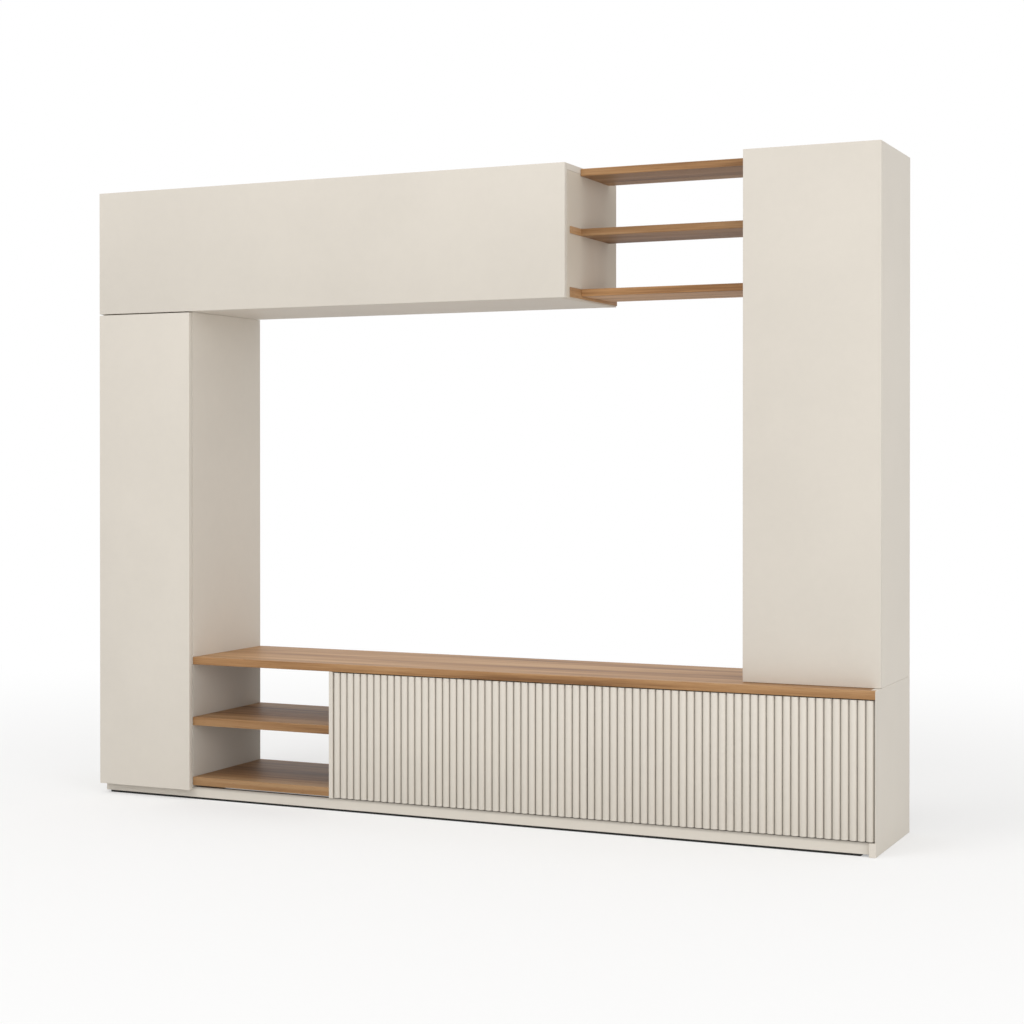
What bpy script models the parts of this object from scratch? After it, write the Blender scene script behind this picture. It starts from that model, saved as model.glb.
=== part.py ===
"""An entertainment center: a low base with a bench top, two tall cupboards, a bridge and open shelves.

The unit stands on the floor at z = 0. X runs along its width, Y from its front to its back, and the
origin is the middle of its footprint. All lengths are in metres.
"""

import math

import bmesh
import bpy
from mathutils import Matrix, Vector

# Overall size
WIDTH = 2.400
DEPTH = 0.400
HEIGHT = 1.846

# Boards
BOARD = 0.018
DOOR_BOARD = 0.018
WOOD_BOARD = 0.025
BENCH_BOARD = 0.0225
DIVIDER_BOARD = 0.012
PLINTH_BOARD = 0.016
SHELF_BOARD = 0.020
BACK_BOARD = 0.004
EDGE_BEVEL = 0.0008

# Clearances
SEAT_GAP = 0.0003
LEAF_GAP = 0.002
SHELF_PLAY = 0.0005
CUT_OVERRUN = 0.002

# Floor strips and plinth
RUNNER_HEIGHT = 0.006
RUNNER_WIDTH = 0.040
RUNNER_INSET = 0.003
RUNNER_LEFT_INSET = 0.020
RUNNER_RIGHT_INSET = 0.041
PLINTH_TOP = 0.037
PLINTH_SETBACK = 0.008
PLINTH_LEFT_INSET = 0.006
FLOOR_BOARD_BOTTOM = 0.041

# Base with its niche and its two fluted flaps
BENCH_HEIGHT = 0.428
NICHE_WIDTH = 0.4685
NICHE_SHELF_BOTTOM = 0.043
NICHE_MIDDLE_BOTTOM = 0.223
FLAP_BOTTOM = 0.040
FLAP_TOP_GAP = 0.003
FLAP_SIDE_GAP = 0.0015
SIDE_LIP = 0.0018
FLUTE_BOARD = 0.010
FLUTE_END_STRIP = 0.002
FLAP_RIBS = 36
RIB_RISE = 0.008
RIB_GROOVE = 0.004
RIB_SEGMENTS = 8

# Left tower
LEFT_TOWER_WIDTH = 0.325
LEFT_DOOR_BOTTOM = 0.030
TOWER_SHELVES = 3
TOWER_SHELF_SETBACK = 0.018

# Right tower, which stands on the bench top
RIGHT_TOWER_WIDTH = 0.372
RIGHT_TOWER_SETBACK = 0.0705
RIGHT_DOOR_LIFT = 0.0007

# Bridge cupboard on the left tower. Its top lies a little under the right tower's
BRIDGE_WIDTH = 1.5435
BRIDGE_WALL_GAP = 0.013
BRIDGE_TOP_DROP = 0.013
BRIDGE_HEIGHT = 0.3697
BRIDGE_FLAP_LIFT = 0.0006
BRIDGE_DOOR_GAP = 0.003

# Open shelves between the bridge and the right tower
SHELF_FRONT = 0.113
SHELF_BACK = 0.328
TOP_SHELF_DROP = 0.0039
MIDDLE_SHELF_DROP = 0.1706
LOW_SHELF_DROP = 0.3384
STRIP_BOARD = 0.0025
STRIP_FRONT = 0.036
LOW_STRIP_LIFT = 0.004

# Hinges: an arm on a wing plate, screwed to the carcass
HINGE_ARM_LENGTH = 0.062
HINGE_ARM_WIDTH = 0.013
HINGE_ARM_HEIGHT = 0.014
HINGE_NOSE_HEIGHT = 0.009
HINGE_NOSE_LENGTH = 0.016
HINGE_PLATE_WIDTH = 0.048
HINGE_PLATE_DEPTH = 0.020
HINGE_PLATE_SETBACK = 0.026
HINGE_PLATE_HEIGHT = 0.003
HINGE_FRONT_GAP = 0.0006
DOOR_HINGE_SHARES = (0.08, 0.42, 0.92)
FLAP_HINGE_SHARES = (0.12, 0.88)
BRIDGE_HINGE_SHARES = (0.14, 0.86)

# Gas struts of the bridge flap
STRUT_PIVOT_DEPTH = 0.040
STRUT_PIVOT_DROP = 0.035
STRUT_BRACKET_DROP = 0.180
STRUT_TUBE_RADIUS = 0.007
STRUT_ROD_RADIUS = 0.0035
STRUT_EYE_RADIUS = 0.0077
STRUT_EYE_WIDTH = 0.016
STRUT_ROD_EYE_WIDTH = 0.010
STRUT_TUBE_END_GAP = 0.014
STRUT_ROD_LENGTH = 0.100
STRUT_BORE_START = 0.018
STRUT_SLIDE_GAP = 0.0006
ROUND_SEGMENTS = 24
SMOOTH_ANGLE = math.radians(40)

# Colours (linear) and surfaces
CREAM = (0.723, 0.665, 0.597, 1.0)
OAK = (0.392, 0.202, 0.080, 1.0)
BLACK = (0.012, 0.011, 0.010, 1.0)
STEEL = (0.560, 0.570, 0.580, 1.0)
LACQUER_ROUGHNESS = 0.45
WOOD_ROUGHNESS = 0.55
PLASTIC_ROUGHNESS = 0.60
STEEL_ROUGHNESS = 0.30

FINISHES = {
    "cream": (CREAM, LACQUER_ROUGHNESS, 0.0),
    "oak": (OAK, WOOD_ROUGHNESS, 0.0),
    "black": (BLACK, PLASTIC_ROUGHNESS, 0.0),
    "steel": (STEEL, STEEL_ROUGHNESS, 1.0),
}

# Planes that several pieces share
LEFT = -WIDTH / 2
RIGHT = WIDTH / 2
FRONT = -DEPTH / 2
BACK = DEPTH / 2
BACK_FACE = BACK - BACK_BOARD - SEAT_GAP
CARCASS_FRONT = FRONT + DOOR_BOARD + SEAT_GAP
BASE_FRONT = FRONT + DOOR_BOARD
FLAP_BACK = BASE_FRONT + RIB_RISE + FLUTE_BOARD
BASE_CARCASS_FRONT = FLAP_BACK + SEAT_GAP
PLINTH_FRONT = BASE_FRONT + PLINTH_SETBACK
PLINTH_BACK = PLINTH_FRONT + PLINTH_BOARD
PANEL_BOTTOM = RUNNER_HEIGHT + SEAT_GAP
LEFT_TOWER_RIGHT = LEFT + LEFT_TOWER_WIDTH
DIVIDER_LEFT = LEFT_TOWER_RIGHT + NICHE_WIDTH
DIVIDER_RIGHT = DIVIDER_LEFT + DIVIDER_BOARD
BENCH_BOTTOM = BENCH_HEIGHT - BENCH_BOARD
FLUTES_LEFT = DIVIDER_RIGHT + FLAP_SIDE_GAP
FLUTES_RIGHT = RIGHT - SIDE_LIP - FLAP_SIDE_GAP
RIB_PITCH = (FLUTES_RIGHT - FLUTES_LEFT - FLUTE_END_STRIP) / (2 * FLAP_RIBS)
FLUTES_JOINT = FLUTES_LEFT + RIB_PITCH * FLAP_RIBS
RIGHT_TOWER_LEFT = RIGHT - RIGHT_TOWER_WIDTH
RIGHT_DOOR_FRONT = FRONT + RIGHT_TOWER_SETBACK
RIGHT_CARCASS_FRONT = RIGHT_DOOR_FRONT + DOOR_BOARD + SEAT_GAP
BRIDGE_RIGHT = LEFT + BRIDGE_WIDTH
BRIDGE_BACK = BACK - BRIDGE_WALL_GAP
BRIDGE_TOP = HEIGHT - BRIDGE_TOP_DROP
BRIDGE_BOTTOM = BRIDGE_TOP - BRIDGE_HEIGHT


def clear_scene():
    for leftover in list(bpy.data.objects):
        bpy.data.objects.remove(leftover, do_unlink=True)


def new_collection(name):
    collection = bpy.data.collections.new(name)
    bpy.context.scene.collection.children.link(collection)
    return collection


clear_scene()
UNIT = new_collection("Entertainment_center")
CUTTERS = new_collection("Cutters")


def paint(piece, finish):
    """Give a piece its own material."""
    colour, roughness, metallic = FINISHES[finish]
    material = bpy.data.materials.new(piece.name + "_" + finish)
    material.use_nodes = True
    shader = material.node_tree.nodes["Principled BSDF"]
    shader.inputs["Base Color"].default_value = colour
    shader.inputs["Roughness"].default_value = roughness
    shader.inputs["Metallic"].default_value = metallic
    piece.data.materials.append(material)


def add_piece(name, shape, origin, finish):
    """Wrap a bmesh that is modelled around the origin in an object, and place it."""
    mesh = bpy.data.meshes.new(name)
    shape.to_mesh(mesh)
    shape.free()
    piece = bpy.data.objects.new(name, mesh)
    piece.location = origin
    UNIT.objects.link(piece)
    paint(piece, finish)
    return piece


def make_cutter(piece):
    """Turn a piece into a guide that only cuts or joins others."""
    UNIT.objects.unlink(piece)
    CUTTERS.objects.link(piece)
    piece.hide_render = True
    piece.display_type = "WIRE"
    return piece


def soften(piece):
    """Break the piece's sharp edges."""
    bevel = piece.modifiers.new("Edges", "BEVEL")
    bevel.width = EDGE_BEVEL
    bevel.segments = 1


def combine(piece, other, operation):
    boolean = piece.modifiers.new(operation.title(), "BOOLEAN")
    boolean.operation = operation
    boolean.object = make_cutter(other)


def plain_box(name, x, y, z, finish, pivot=None):
    """A box between the two ends given along each axis, with its origin in its middle or on a pivot."""
    low = Vector((x[0], y[0], z[0]))
    high = Vector((x[1], y[1], z[1]))
    origin = (low + high) / 2 if pivot is None else Vector(pivot)
    shape = bmesh.new()
    place = Matrix.LocRotScale((low + high) / 2 - origin, None, high - low)
    bmesh.ops.create_cube(shape, size=1.0, matrix=place)
    return add_piece(name, shape, origin, finish)


def board(name, x, y, z, finish="cream", pivot=None):
    piece = plain_box(name, x, y, z, finish, pivot)
    soften(piece)
    return piece


def extruded(name, outline, thickness, origin, finish):
    """A closed outline in X and Y, extruded along Z to both sides of its own plane."""
    curve = bpy.data.curves.new(name, "CURVE")
    curve.dimensions = "2D"
    curve.fill_mode = "BOTH"
    curve.extrude = thickness / 2
    spline = curve.splines.new("POLY")
    spline.points.add(len(outline) - 1)
    for point, (x, y) in zip(spline.points, outline):
        point.co = (x, y, 0.0, 1.0)
    spline.use_cyclic_u = True
    drawn = bpy.data.objects.new(name + "_outline", curve)
    UNIT.objects.link(drawn)
    depsgraph = bpy.context.evaluated_depsgraph_get()
    mesh = bpy.data.meshes.new_from_object(drawn.evaluated_get(depsgraph))
    shape = bmesh.new()
    shape.from_mesh(mesh)
    bmesh.ops.remove_doubles(shape, verts=shape.verts, dist=SEAT_GAP / 10)
    bpy.data.objects.remove(drawn, do_unlink=True)
    bpy.data.meshes.remove(mesh)
    return add_piece(name, shape, origin, finish)


def between(low, high, gap=SEAT_GAP):
    """The stretch between two neighbours, less the gap to each."""
    return (low + gap, high - gap)


def cut_toe(panel, x):
    """Cut the panel's front foot away where the plinth passes."""
    low = (x[0] - CUT_OVERRUN, x[1] + CUT_OVERRUN)
    toe = plain_box(panel.name + "_toe", low, (BASE_FRONT - CUT_OVERRUN, PLINTH_BACK + SEAT_GAP),
                    (PANEL_BOTTOM - CUT_OVERRUN, PLINTH_TOP + SEAT_GAP), "cream")
    panel.modifiers.clear()
    combine(panel, toe, "DIFFERENCE")
    soften(panel)


def build_floor_strips():
    """Two black strips that the panels stand on, and the plinth boards."""
    strip_x = (LEFT + RUNNER_LEFT_INSET, RIGHT - RUNNER_RIGHT_INSET)
    front = PLINTH_FRONT + RUNNER_INSET
    board("runner_front", strip_x, (front, front + RUNNER_WIDTH), (0.0, RUNNER_HEIGHT), "black")
    rear = BACK - RUNNER_INSET
    board("runner_back", strip_x, (rear - RUNNER_WIDTH, rear), (0.0, RUNNER_HEIGHT), "black")
    plinth_x = (LEFT + PLINTH_LEFT_INSET, RIGHT - BOARD - SEAT_GAP)
    board("plinth_front", plinth_x, (PLINTH_FRONT, PLINTH_BACK), (PANEL_BOTTOM, PLINTH_TOP))
    board("plinth_back", between(DIVIDER_RIGHT, RIGHT - BOARD), (BACK_FACE - BOARD, BACK_FACE),
          (PANEL_BOTTOM, FLOOR_BOARD_BOTTOM))


def build_base():
    """Side, divider, floor, partition and back of the base, under its bench top."""
    build_base_side()
    divider_x = (DIVIDER_LEFT, DIVIDER_RIGHT)
    divider = board("niche_divider", divider_x, (BASE_FRONT, BACK), (PANEL_BOTTOM, BENCH_BOTTOM - SEAT_GAP))
    cut_toe(divider, divider_x)
    inner_x = between(DIVIDER_RIGHT, RIGHT - BOARD)
    inner_y = (BASE_CARCASS_FRONT, BACK_FACE)
    floor_z = (FLOOR_BOARD_BOTTOM + SEAT_GAP, FLOOR_BOARD_BOTTOM + SEAT_GAP + BOARD)
    board("base_bottom", inner_x, inner_y, floor_z)
    middle = (DIVIDER_RIGHT + RIGHT) / 2
    wall_z = between(floor_z[1], BENCH_BOTTOM)
    board("base_partition", (middle - BOARD / 2, middle + BOARD / 2), inner_y, wall_z)
    board("base_back", inner_x, (BACK - BACK_BOARD, BACK), (floor_z[0], wall_z[1]))
    build_bench_top()
    build_niche()


def build_base_side():
    """The right side, which stands on the floor.

    Over the plinth its front is rebated for the flap and the bench top, up to a thin outer lip.
    """
    side = board("base_side_right", (RIGHT - BOARD, RIGHT), (BASE_FRONT, BACK), (0.0, BENCH_HEIGHT))
    rebate_x = (RIGHT - BOARD - CUT_OVERRUN, RIGHT - SIDE_LIP)
    rebate_y = (BASE_FRONT - CUT_OVERRUN, BASE_CARCASS_FRONT)
    rebate_z = (PLINTH_TOP, BENCH_HEIGHT + CUT_OVERRUN)
    rebate = plain_box(side.name + "_rebate", rebate_x, rebate_y, rebate_z, "cream")
    side.modifiers.clear()
    combine(side, rebate, "DIFFERENCE")
    soften(side)


def build_bench_top():
    """The wooden top, whose front lip passes in front of the right side panel."""
    low_x = LEFT_TOWER_RIGHT + SEAT_GAP
    inner_x = RIGHT - BOARD - SEAT_GAP
    lip_x = RIGHT - SIDE_LIP - SEAT_GAP
    outline = [(low_x, BASE_FRONT), (lip_x, BASE_FRONT), (lip_x, FLAP_BACK), (inner_x, FLAP_BACK),
               (inner_x, BACK), (low_x, BACK)]
    middle_z = BENCH_HEIGHT - BENCH_BOARD / 2
    soften(extruded("bench_top", outline, BENCH_BOARD, (0.0, 0.0, middle_z), "oak"))


def build_niche():
    niche_x = between(LEFT_TOWER_RIGHT, DIVIDER_LEFT)
    for name, low in (("bottom", NICHE_SHELF_BOTTOM), ("middle", NICHE_MIDDLE_BOTTOM)):
        board("niche_shelf_" + name, niche_x, (BASE_FRONT, BACK), (low, low + WOOD_BOARD), "oak")


def fluted_outline(width, start):
    """Plan of a fluted front: half-elliptic ribs between flat grooves, on a flat board.

    The ribs are set out from the start, which is measured from the front's left end.
    """
    half_rib = (RIB_PITCH - RIB_GROOVE) / 2
    points = [(0.0, RIB_RISE + FLUTE_BOARD), (0.0, RIB_RISE)]
    for rib in range(FLAP_RIBS):
        centre = start + (rib + 1 / 2) * RIB_PITCH
        for step in range(RIB_SEGMENTS + 1):
            angle = math.pi * step / RIB_SEGMENTS
            points.append((centre - half_rib * math.cos(angle), RIB_RISE * (1 - math.sin(angle))))
    points.append((width, RIB_RISE))
    points.append((width, RIB_RISE + FLUTE_BOARD))
    return points


def build_fluted_flaps():
    """Two drop-down flaps, hinged along the lower edge of their front.

    Their ribs run on at one pitch, and the joint between the flaps lies in a groove.
    """
    height = BENCH_BOTTOM - FLAP_TOP_GAP - FLAP_BOTTOM
    half_gap = LEAF_GAP / 2
    leaves = {
        "fluted_flap_left": (FLUTES_LEFT, FLUTES_JOINT - half_gap, 0.0),
        "fluted_flap_right": (FLUTES_JOINT + half_gap, FLUTES_RIGHT, -half_gap),
    }
    for name, (low_x, high_x, start) in leaves.items():
        width = high_x - low_x
        outline = fluted_outline(width, start)
        flap = extruded(name, outline, height, (low_x, BASE_FRONT, FLAP_BOTTOM), "cream")
        flap.data.transform(Matrix.Translation((0.0, 0.0, height / 2)))
        for number, share in enumerate(FLAP_HINGE_SHARES, 1):
            seat = (low_x + width * share, BASE_CARCASS_FRONT, FLOOR_BOARD_BOTTOM + SEAT_GAP + BOARD)
            build_hinge(name + "_hinge_" + str(number), seat, 0.0)


def build_tower(name, left, right, front, bottom, top, floor_bottom):
    """Two sides, a top, a floor, a back and loose shelves. Returns the side panels."""
    sides = {}
    for side, low in (("left", left), ("right", right - BOARD)):
        sides[side] = board(name + "_side_" + side, (low, low + BOARD), (front, BACK), (bottom, top))
    inner_x = between(left + BOARD, right - BOARD)
    inner_y = (front, BACK_FACE)
    board(name + "_bottom", inner_x, inner_y, (floor_bottom, floor_bottom + BOARD))
    board(name + "_top", inner_x, inner_y, (top - BOARD, top))
    board(name + "_back", inner_x, (BACK - BACK_BOARD, BACK), (floor_bottom, top))
    clear = top - BOARD - floor_bottom - BOARD
    step = (clear + BOARD) / (TOWER_SHELVES + 1)
    loose_x = between(left + BOARD, right - BOARD, SHELF_PLAY)
    for number in range(1, TOWER_SHELVES + 1):
        low = floor_bottom + step * number
        shelf_y = (front + TOWER_SHELF_SETBACK, BACK_FACE)
        board(name + "_shelf_" + str(number), loose_x, shelf_y, (low, low + BOARD))
    return sides


def build_left_tower():
    """The tall cupboard at the left, whose door hangs on its outer side."""
    top = BRIDGE_BOTTOM - SEAT_GAP
    sides = build_tower("left_tower", LEFT, LEFT_TOWER_RIGHT, CARCASS_FRONT, PANEL_BOTTOM, top,
                        FLOOR_BOARD_BOTTOM + SEAT_GAP)
    cut_toe(sides["left"], (LEFT, LEFT + BOARD))
    cut_toe(sides["right"], (LEFT_TOWER_RIGHT - BOARD, LEFT_TOWER_RIGHT))
    door_z = (LEFT_DOOR_BOTTOM, BRIDGE_BOTTOM - BRIDGE_DOOR_GAP)
    board("left_door", (LEFT, LEFT_TOWER_RIGHT), (FRONT, BASE_FRONT), door_z, pivot=(LEFT, FRONT, door_z[0]))
    for number, share in enumerate(DOOR_HINGE_SHARES, 1):
        height = door_z[0] + (door_z[1] - door_z[0]) * share
        build_hinge("left_door_hinge_" + str(number), (LEFT + BOARD, CARCASS_FRONT, height), math.pi / 2)


def build_right_tower():
    """The tall cupboard on the bench top, whose door hangs on its outer side."""
    bottom = BENCH_HEIGHT + SEAT_GAP
    build_tower("right_tower", RIGHT_TOWER_LEFT, RIGHT, RIGHT_CARCASS_FRONT, bottom, HEIGHT, bottom)
    door_z = (bottom + RIGHT_DOOR_LIFT, HEIGHT)
    door_y = (RIGHT_DOOR_FRONT, RIGHT_DOOR_FRONT + DOOR_BOARD)
    board("right_door", (RIGHT_TOWER_LEFT, RIGHT), door_y, door_z, pivot=(RIGHT, door_y[0], door_z[0]))
    for number, share in enumerate(DOOR_HINGE_SHARES, 1):
        height = door_z[0] + (door_z[1] - door_z[0]) * share
        seat = (RIGHT - BOARD, RIGHT_CARCASS_FRONT, height)
        build_hinge("right_door_hinge_" + str(number), seat, -math.pi / 2)


def build_bridge():
    """The wide cupboard over the screen, with one lift-up flap."""
    y = (CARCASS_FRONT, BRIDGE_BACK)
    under_top = BRIDGE_TOP - BOARD
    board("bridge_top", (LEFT, BRIDGE_RIGHT), y, (under_top, BRIDGE_TOP))
    for side, low in (("left", LEFT), ("right", BRIDGE_RIGHT - BOARD)):
        board("bridge_side_" + side, (low, low + BOARD), y, (BRIDGE_BOTTOM, under_top - SEAT_GAP))
    inner_x = between(LEFT + BOARD, BRIDGE_RIGHT - BOARD)
    back_face = BRIDGE_BACK - BACK_BOARD - SEAT_GAP
    inner_y = (CARCASS_FRONT, back_face)
    floor_top = BRIDGE_BOTTOM + BOARD
    board("bridge_bottom", inner_x, inner_y, (BRIDGE_BOTTOM, floor_top))
    back_y = (BRIDGE_BACK - BACK_BOARD, BRIDGE_BACK)
    board("bridge_back", inner_x, back_y, (BRIDGE_BOTTOM, under_top - SEAT_GAP))
    middle = (LEFT + BRIDGE_RIGHT) / 2
    wall_z = between(floor_top, under_top)
    board("bridge_partition", (middle - BOARD / 2, middle + BOARD / 2), inner_y, wall_z)
    flap_z = (BRIDGE_BOTTOM + BRIDGE_FLAP_LIFT, BRIDGE_TOP)
    board("bridge_flap", (LEFT, BRIDGE_RIGHT), (FRONT, BASE_FRONT), flap_z, pivot=(LEFT, FRONT, BRIDGE_TOP))
    for number, share in enumerate(BRIDGE_HINGE_SHARES, 1):
        seat = (LEFT + BRIDGE_WIDTH * share, CARCASS_FRONT, under_top)
        build_hinge("bridge_flap_hinge_" + str(number), seat, math.pi)
    reach = BOARD + SEAT_GAP + STRUT_EYE_WIDTH / 2
    build_strut("left", LEFT + reach)
    build_strut("right", BRIDGE_RIGHT - reach)


def build_open_shelves():
    """Three wooden shelves, and the two wooden strips on the bridge's end."""
    shelf_y = (FRONT + SHELF_FRONT, FRONT + SHELF_BACK)
    wall_x = BRIDGE_RIGHT + SEAT_GAP
    strip_x = (wall_x, wall_x + STRIP_BOARD)
    levels = {}
    for name, drop, start in (("top", TOP_SHELF_DROP, wall_x), ("middle", MIDDLE_SHELF_DROP, wall_x),
                              ("low", LOW_SHELF_DROP, strip_x[1] + SEAT_GAP)):
        top = BRIDGE_TOP - drop
        levels[name] = (top - SHELF_BOARD, top)
        board("upper_shelf_" + name, (start, RIGHT_TOWER_LEFT - SEAT_GAP), shelf_y, levels[name], "oak")
    strip_front = FRONT + STRIP_FRONT
    board("bridge_strip_middle", strip_x, (strip_front, shelf_y[0] - SEAT_GAP), levels["middle"], "oak")
    low_z = (BRIDGE_BOTTOM + LOW_STRIP_LIFT, levels["low"][1])
    board("bridge_strip_low", strip_x, (strip_front, BRIDGE_BACK), low_z, "oak")


def build_hinge(name, seat, turn):
    """A hinge arm on its wing plate. The seat is on the panel's face, at its front edge.

    The arm is modelled on a panel that faces up, and turned about Y to the face that carries it.
    """
    arm_y = (HINGE_FRONT_GAP, HINGE_ARM_LENGTH)
    nose_y = arm_y[0] + HINGE_NOSE_LENGTH
    low = SEAT_GAP + HINGE_PLATE_HEIGHT / 2
    outline = [(arm_y[0], low), (arm_y[1], low), (arm_y[1], HINGE_NOSE_HEIGHT), (nose_y, HINGE_ARM_HEIGHT),
               (arm_y[0], HINGE_NOSE_HEIGHT)]
    arm = extruded(name, outline, HINGE_ARM_WIDTH, (0.0, 0.0, 0.0), "steel")
    arm.data.transform(Matrix.Rotation(math.pi / 2, 4, "Z") @ Matrix.Rotation(math.pi / 2, 4, "X"))
    plate_y = (HINGE_PLATE_SETBACK, HINGE_PLATE_SETBACK + HINGE_PLATE_DEPTH)
    half = HINGE_PLATE_WIDTH / 2
    plate_z = (SEAT_GAP, SEAT_GAP + HINGE_PLATE_HEIGHT)
    plate = plain_box(name + "_plate", (-half, half), plate_y, plate_z, "steel", pivot=(0.0, 0.0, 0.0))
    place = Matrix.Translation(seat) @ Matrix.Rotation(turn, 4, "Y")
    arm.matrix_world = place
    plate.matrix_world = place
    combine(arm, plate, "UNION")


def rod_shape(radius, low, high):
    """A round bar along Z between two heights."""
    shape = bmesh.new()
    place = Matrix.Translation((0.0, 0.0, (low + high) / 2))
    bmesh.ops.create_cone(shape, cap_ends=True, segments=ROUND_SEGMENTS, radius1=radius, radius2=radius,
                          depth=high - low, matrix=place)
    return shape


def eye_shape(radius, width):
    """A round eye whose axis lies along X."""
    shape = rod_shape(radius, -width / 2, width / 2)
    bmesh.ops.transform(shape, matrix=Matrix.Rotation(math.pi / 2, 4, "Y"), verts=shape.verts)
    return shape


def round_part(name, shape, place, finish):
    """A round piece that is modelled along Z from a pivot, and turned to its place."""
    part = add_piece(name, shape, (0.0, 0.0, 0.0), finish)
    part.data.shade_smooth()
    part.data.set_sharp_from_angle(angle=SMOOTH_ANGLE)
    part.matrix_world = place
    return part


def build_strut(side, x):
    """A gas strut: a tube that turns at the carcass, and a rod that slides in it and holds the flap."""
    pivot = Vector((x, FRONT + STRUT_PIVOT_DEPTH, BRIDGE_TOP - STRUT_PIVOT_DROP))
    bracket_depth = DOOR_BOARD + SEAT_GAP + STRUT_EYE_RADIUS
    bracket = Vector((x, FRONT + bracket_depth, BRIDGE_TOP - STRUT_BRACKET_DROP))
    reach = bracket - pivot
    turn = Matrix.Rotation(math.atan2(-reach.y, reach.z), 4, "X")
    tube_end = reach.length - STRUT_TUBE_END_GAP
    at_pivot = Matrix.Translation(pivot) @ turn
    tube = round_part("strut_tube_" + side, rod_shape(STRUT_TUBE_RADIUS, 0.0, tube_end), at_pivot, "black")
    eye = eye_shape(STRUT_EYE_RADIUS, STRUT_EYE_WIDTH)
    combine(tube, round_part("strut_eye_" + side, eye, at_pivot, "black"), "UNION")
    bore = rod_shape(STRUT_ROD_RADIUS + STRUT_SLIDE_GAP, STRUT_BORE_START, tube_end + CUT_OVERRUN)
    combine(tube, round_part("strut_bore_" + side, bore, at_pivot, "black"), "DIFFERENCE")
    at_bracket = Matrix.Translation(bracket) @ turn
    bar = rod_shape(STRUT_ROD_RADIUS, -STRUT_ROD_LENGTH, 0.0)
    rod = round_part("strut_rod_" + side, bar, at_bracket, "steel")
    rod_eye = eye_shape(STRUT_EYE_RADIUS, STRUT_ROD_EYE_WIDTH)
    combine(rod, round_part("strut_rod_eye_" + side, rod_eye, at_bracket, "steel"), "UNION")


def build_unit():
    build_floor_strips()
    build_base()
    build_fluted_flaps()
    build_left_tower()
    build_bridge()
    build_open_shelves()
    build_right_tower()


build_unit()
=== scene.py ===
# Looks for the entertainment center: finishes, finer fronts and fittings, a stage and a camera
import math

import bmesh
import bpy
from mathutils import Matrix, Vector


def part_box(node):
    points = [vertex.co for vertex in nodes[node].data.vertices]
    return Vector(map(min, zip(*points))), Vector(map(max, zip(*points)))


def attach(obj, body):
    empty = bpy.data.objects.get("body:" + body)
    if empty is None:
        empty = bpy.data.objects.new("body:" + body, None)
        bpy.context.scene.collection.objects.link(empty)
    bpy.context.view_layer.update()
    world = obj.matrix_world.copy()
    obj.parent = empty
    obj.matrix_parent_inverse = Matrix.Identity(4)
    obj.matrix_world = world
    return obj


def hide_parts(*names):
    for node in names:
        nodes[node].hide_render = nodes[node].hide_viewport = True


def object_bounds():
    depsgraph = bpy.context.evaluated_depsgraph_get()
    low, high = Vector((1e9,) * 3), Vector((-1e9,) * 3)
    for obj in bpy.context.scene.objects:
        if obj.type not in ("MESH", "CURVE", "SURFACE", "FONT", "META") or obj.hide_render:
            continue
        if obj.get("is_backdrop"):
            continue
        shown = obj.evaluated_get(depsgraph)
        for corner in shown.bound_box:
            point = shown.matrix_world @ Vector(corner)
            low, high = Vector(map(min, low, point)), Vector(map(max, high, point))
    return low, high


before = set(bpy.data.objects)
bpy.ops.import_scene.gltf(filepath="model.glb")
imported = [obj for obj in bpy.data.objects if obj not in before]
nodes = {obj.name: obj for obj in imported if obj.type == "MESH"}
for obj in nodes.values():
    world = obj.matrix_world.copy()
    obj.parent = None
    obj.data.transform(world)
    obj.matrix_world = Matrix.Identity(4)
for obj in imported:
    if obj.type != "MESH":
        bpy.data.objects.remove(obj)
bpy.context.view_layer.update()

print("frame loaded:", len(nodes), "CAD nodes")


def addNode(tree, kind, place, **settings):
    node = tree.nodes.new(kind)
    node.location = place
    for name, value in settings.items():
        setattr(node, name, value)
    return node


def setInputs(node, values):
    for name, value in values.items():
        node.inputs[name].default_value = value
    return node


def join(tree, source, target):
    tree.links.new(source, target)


def newGroup(name, inputs, outputs):
    group = bpy.data.node_groups.new(name, "ShaderNodeTree")
    for way, sockets in (("INPUT", inputs), ("OUTPUT", outputs)):
        for label, kind in sockets.items():
            group.interface.new_socket(label, in_out=way, socket_type="NodeSocket" + kind)
    entry = addNode(group, "NodeGroupInput", (-900, 0))
    leave = addNode(group, "NodeGroupOutput", (900, 0))
    return group, entry, leave


def mathNode(tree, operation, place, first, second):
    node = addNode(tree, "ShaderNodeMath", place, operation=operation)
    for index, value in enumerate((first, second)):
        if isinstance(value, (int, float)):
            node.inputs[index].default_value = value
        else:
            join(tree, value, node.inputs[index])
    return node.outputs[0]


def noiseNode(tree, place, vector, scale, detail, roughness, distortion=0.0):
    node = addNode(tree, "ShaderNodeTexNoise", place, noise_dimensions="3D")
    setInputs(node, {"Scale": scale, "Detail": detail, "Roughness": roughness, "Distortion": distortion})
    join(tree, vector, node.inputs["Vector"])
    return node.outputs[0]


def remap(tree, place, value, low, high, newLow, newHigh):
    node = addNode(tree, "ShaderNodeMapRange", place, interpolation_type="SMOOTHSTEP")
    setInputs(node, {"From Min": low, "From Max": high, "To Min": newLow, "To Max": newHigh})
    join(tree, value, node.inputs["Value"])
    return node.outputs[0]


def mixNode(tree, place, factor, first, second):
    node = addNode(tree, "ShaderNodeMix", place, data_type="RGBA")
    join(tree, factor, node.inputs[0])
    for index, value in ((6, first), (7, second)):
        if isinstance(value, tuple):
            node.inputs[index].default_value = value
        else:
            join(tree, value, node.inputs[index])
    return node.outputs[2]


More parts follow.
